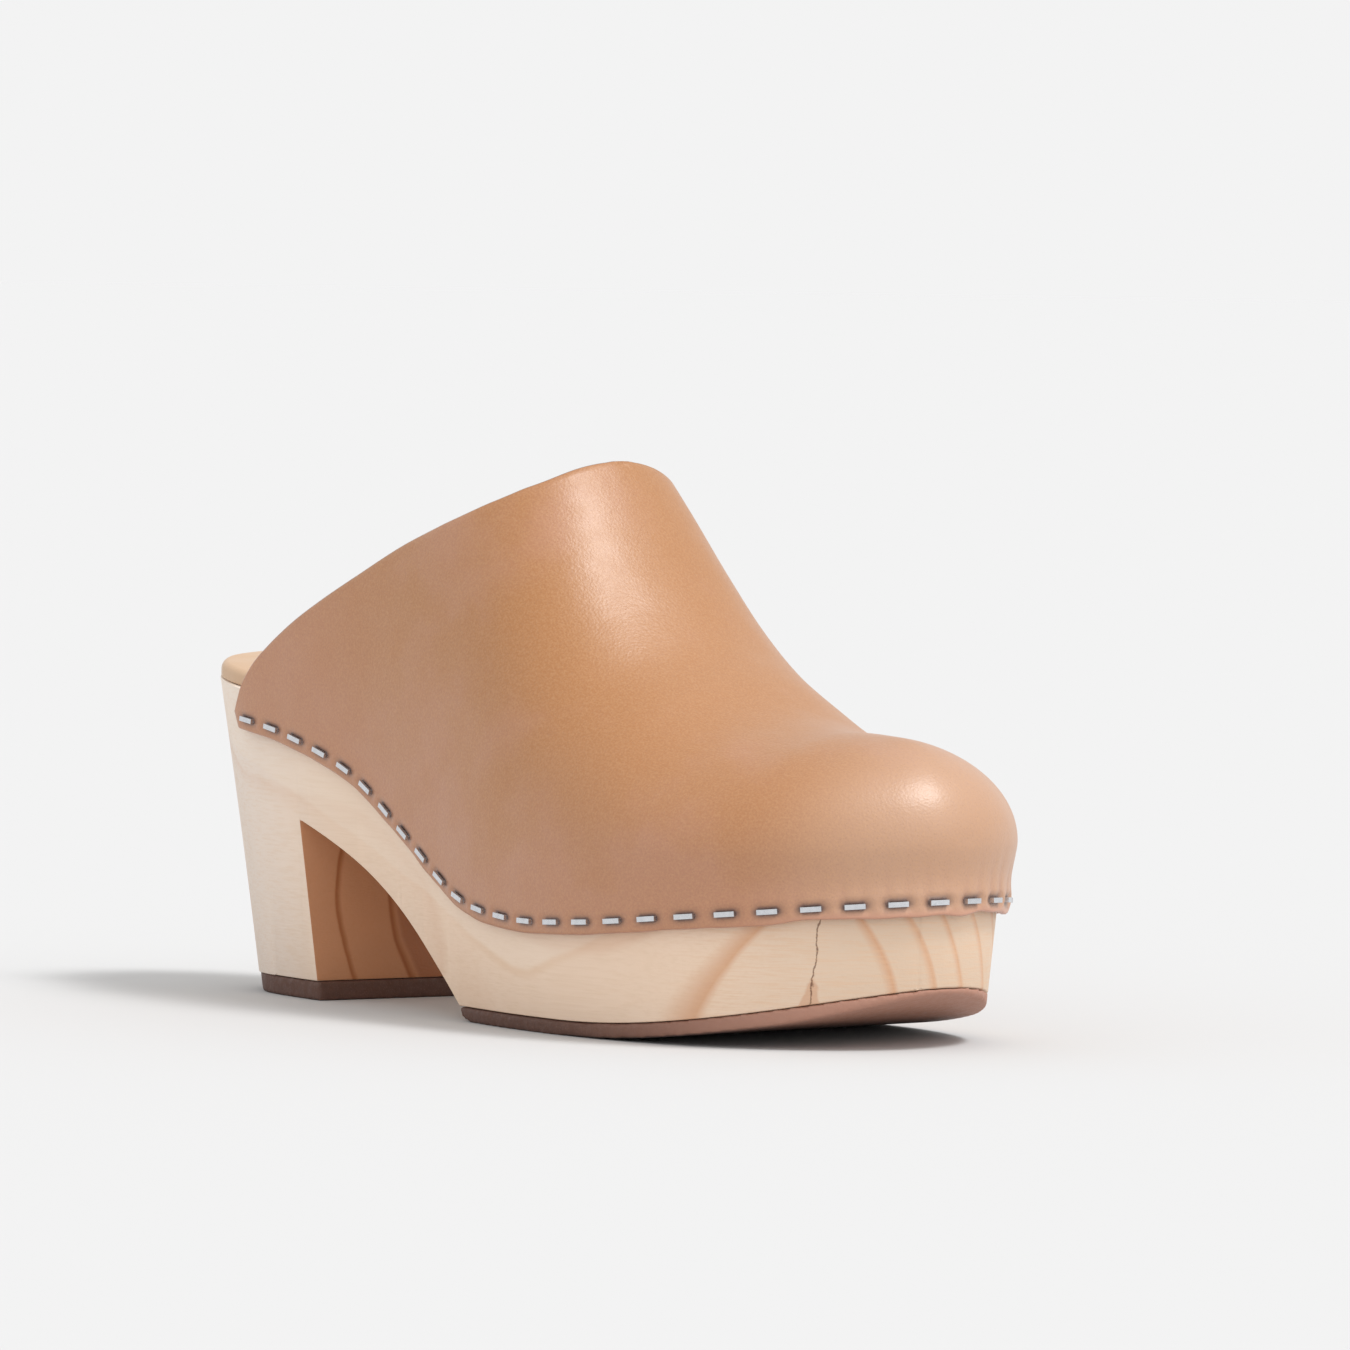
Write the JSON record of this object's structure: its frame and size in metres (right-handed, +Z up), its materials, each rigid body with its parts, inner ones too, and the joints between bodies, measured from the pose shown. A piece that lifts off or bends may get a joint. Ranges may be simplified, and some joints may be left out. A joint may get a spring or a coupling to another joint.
{
  "type": "clog",
  "caption": "Right-foot wooden platform clog with a block heel, a closed-toe leather vamp stapled to the sole, a padded insole and rubber treads.",
  "frame": {"origin": "middle of the bottom of the bounding box, on the ground the clog stands on", "axes": "+X towards the toe, +Y towards the inner (medial) side of the foot, +Z up"},
  "size_m": [0.242, 0.0984, 0.1292],
  "materials": {
    "pine_wood": "satin, pale pine with salmon growth rings",
    "tread_rubber": "matte dark reddish brown",
    "vamp_leather": "smooth vegetable-tanned, satin",
    "lining_leather": "matte, thin lining hide",
    "toe_stiffener": "stiffened non-woven",
    "insole_foam": "matte foam",
    "insole_leather": "natural vegetable-tanned, satin",
    "staple_steel": "bright drawn wire"
  },
  "bodies": {
    "root": {"wood_sole": "pine_wood", "forepart_tread": "tread_rubber", "heel_lift": "tread_rubber", "vamp": "vamp_leather", "vamp_lining": "lining_leather", "toe_puff": "toe_stiffener", "insole_pad": "insole_foam", "insole_cover": "insole_leather", "staple_01": "staple_steel", "staple_02": "staple_steel", "staple_03": "staple_steel", "staple_04": "staple_steel", "staple_05": "staple_steel", "staple_06": "staple_steel", "staple_07": "staple_steel", "staple_08": "staple_steel", "staple_09": "staple_steel", "staple_10": "staple_steel", "staple_11": "staple_steel", "staple_12": "staple_steel", "staple_13": "staple_steel", "staple_14": "staple_steel", "staple_15": "staple_steel", "staple_16": "staple_steel", "staple_17": "staple_steel", "staple_18": "staple_steel", "staple_19": "staple_steel", "staple_20": "staple_steel", "staple_21": "staple_steel", "staple_22": "staple_steel", "staple_23": "staple_steel", "staple_24": "staple_steel", "staple_25": "staple_steel", "staple_26": "staple_steel", "staple_27": "staple_steel", "staple_28": "staple_steel", "staple_29": "staple_steel", "staple_30": "staple_steel", "staple_31": "staple_steel", "staple_32": "staple_steel", "staple_33": "staple_steel", "staple_34": "staple_steel", "staple_35": "staple_steel", "staple_36": "staple_steel", "staple_37": "staple_steel", "staple_38": "staple_steel", "staple_39": "staple_steel", "staple_40": "staple_steel", "staple_41": "staple_steel", "staple_42": "staple_steel", "staple_43": "staple_steel", "staple_44": "staple_steel", "staple_45": "staple_steel", "staple_46": "staple_steel", "staple_47": "staple_steel", "staple_48": "staple_steel", "staple_49": "staple_steel", "staple_50": "staple_steel"}
  },
  "joints": []
}
